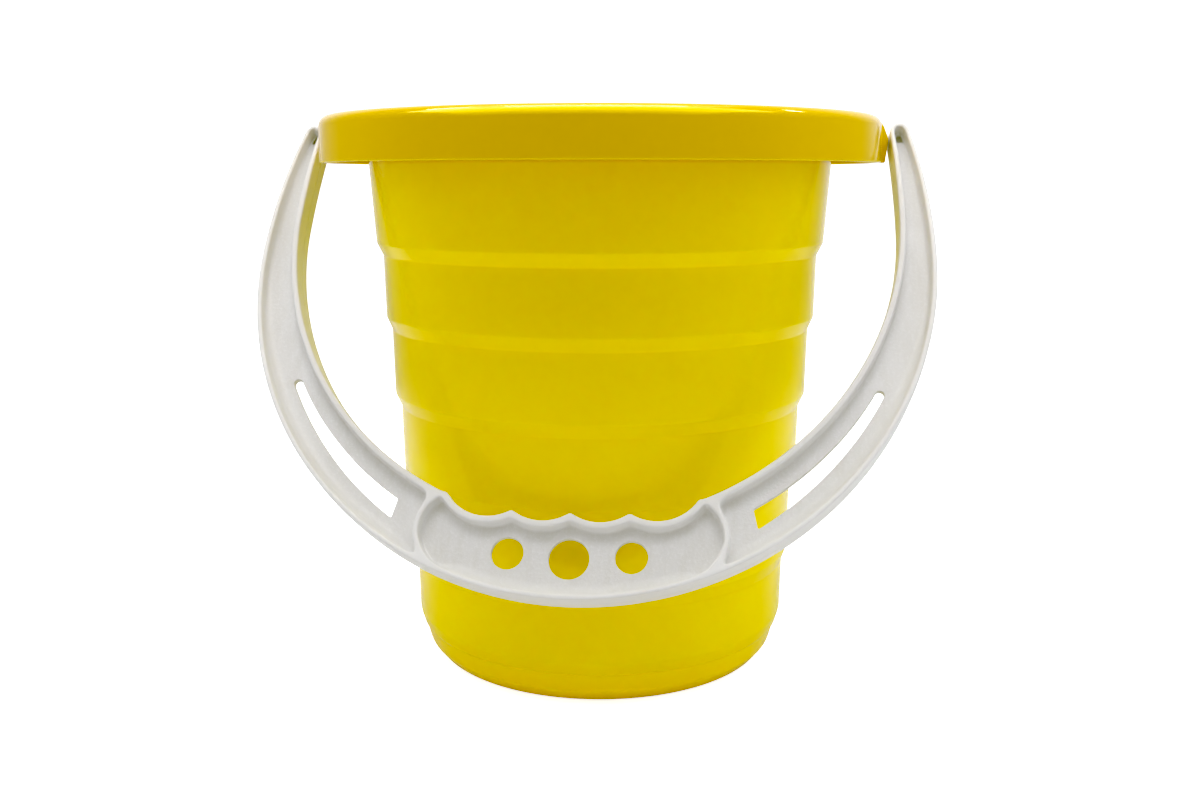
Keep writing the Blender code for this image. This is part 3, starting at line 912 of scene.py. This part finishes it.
def seen_only(obj, by_camera):
    """Paper that the camera sees doesn't light the object, and paper that lights it isn't seen."""
    obj.visible_camera = by_camera
    for ray in ("diffuse", "glossy", "transmission"):
        setattr(obj, "visible_" + ray, not by_camera)
    obj.visible_shadow = False


def build_studio():
    for name, height, radius, by_camera, paper_name, greys, glow in FLOORS:
        bpy.ops.mesh.primitive_circle_add(
            vertices=96, radius=radius, fill_type="NGON", location=(0, 0, height)
        )
        floor = bpy.context.object
        floor.name = name
        floor.data.materials.append(paper(paper_name, greys, glow))
        seen_only(floor, by_camera)
    bpy.ops.mesh.primitive_uv_sphere_add(segments=48, ring_count=24, radius=BACKDROP_RADIUS)
    backdrop = bpy.context.object
    backdrop.name = "studio_backdrop"
    backdrop.data.materials.append(paper("paper_back", PAPER, BACKDROP_GLOW))
    seen_only(backdrop, True)
    set_world()
    above, below = (0, CEILING_Y, CEILING), (0, CEILING_Y, 0)
    add_area("ceiling_light", above, below, CEILING_SIZE, CEILING_POWER)
    x, y, z = WINDOW_PLACE
    for name, side in (("left_window", -1), ("right_window", 1)):
        place, target = (x * side, y, z), (0, 0, 0.10)
        window = add_area(name, place, target, WINDOW_SIZE, WINDOW_POWER, WINDOW_COLOUR)
        window.visible_glossy = False
    build_lamps()


def lamp(name, panes, glow):
    """Level bright panes at the ceiling's height, which show only in glossy surfaces."""
    points, faces = [], []
    for x, y, half_width, half_length in panes:
        faces.append(tuple(range(len(points), len(points) + 4)))
        for across, along in ((-1, -1), (1, -1), (1, 1), (-1, 1)):
            points.append((x + across * half_width, y + along * half_length, CEILING))
    obj = make_object(name, points, faces, paper(name + "_paper", PAPER, glow))
    for ray in ("camera", "diffuse", "transmission", "shadow"):
        setattr(obj, "visible_" + ray, False)


def build_lamps():
    """Soft panels on the camera's side, and overhead a row of bars with a pane past each end."""
    for name, pane, glow in PANELS:
        lamp(name, [pane], glow)
    row = [(x, *ROW_BAR) for x in spread(*ROW_SPAN, ROW_GAPS)]
    lamp("studio_row", [*row, *ROW_ENDS], ROW_GLOW)


# ---------------------------------------------------------------- camera

CAMERA_DISTANCE = 0.487
CAMERA_HEIGHT = 0.1909
CAMERA_YAW = radians(6.5)
CAMERA_PITCH = radians(7.17)
SENSOR_WIDTH = LENS = 36.0
CAMERA_SHIFT = -0.06  # fitted to the photograph's framing
# (value in, value out) of the view's blue channel
BLUE_CURVE = ((0.07, 0.0), (0.17, 0.09), (0.34, 0.32))
BLUE = 2


def add_camera():
    data = bpy.data.cameras.new("camera")
    data.sensor_width = SENSOR_WIDTH
    data.lens = LENS
    data.shift_y = CAMERA_SHIFT
    data.clip_start = 0.01
    camera = bpy.data.objects.new("camera", data)
    across, away = sin(CAMERA_YAW), -cos(CAMERA_YAW)
    camera.location = (CAMERA_DISTANCE * across, CAMERA_DISTANCE * away, CAMERA_HEIGHT)
    camera.rotation_euler = (pi / 2 - CAMERA_PITCH, 0.0, CAMERA_YAW)
    bpy.context.scene.collection.objects.link(camera)
    bpy.context.scene.camera = camera


def set_blue_curve(settings):
    """Takes the last of the blue out of strong yellows, and leaves whites as they are."""
    settings.use_curve_mapping = True
    curve = settings.curve_mapping.curves[BLUE]
    for place in BLUE_CURVE:
        curve.points.new(*place)
    settings.curve_mapping.update()


# ---------------------------------------------------------------- all of it

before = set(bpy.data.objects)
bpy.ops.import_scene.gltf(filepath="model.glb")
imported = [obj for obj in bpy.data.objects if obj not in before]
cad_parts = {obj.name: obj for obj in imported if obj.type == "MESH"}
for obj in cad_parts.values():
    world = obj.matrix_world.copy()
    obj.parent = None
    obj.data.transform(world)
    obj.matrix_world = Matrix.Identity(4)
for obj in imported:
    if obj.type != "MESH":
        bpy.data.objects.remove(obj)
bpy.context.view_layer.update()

yellow, white = yellow_plastic(), white_plastic()
pail = build_pail(yellow)
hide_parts("bucket_body")
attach(pail, "pail")
handle = build_handle(white)
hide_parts("handle")
for piece in [handle] + build_pins(white):
    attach(piece, "bail")

build_studio()
add_camera()
settings = bpy.context.scene.view_settings
settings.view_transform = "Standard"
settings.look = "None"
set_blue_curve(settings)
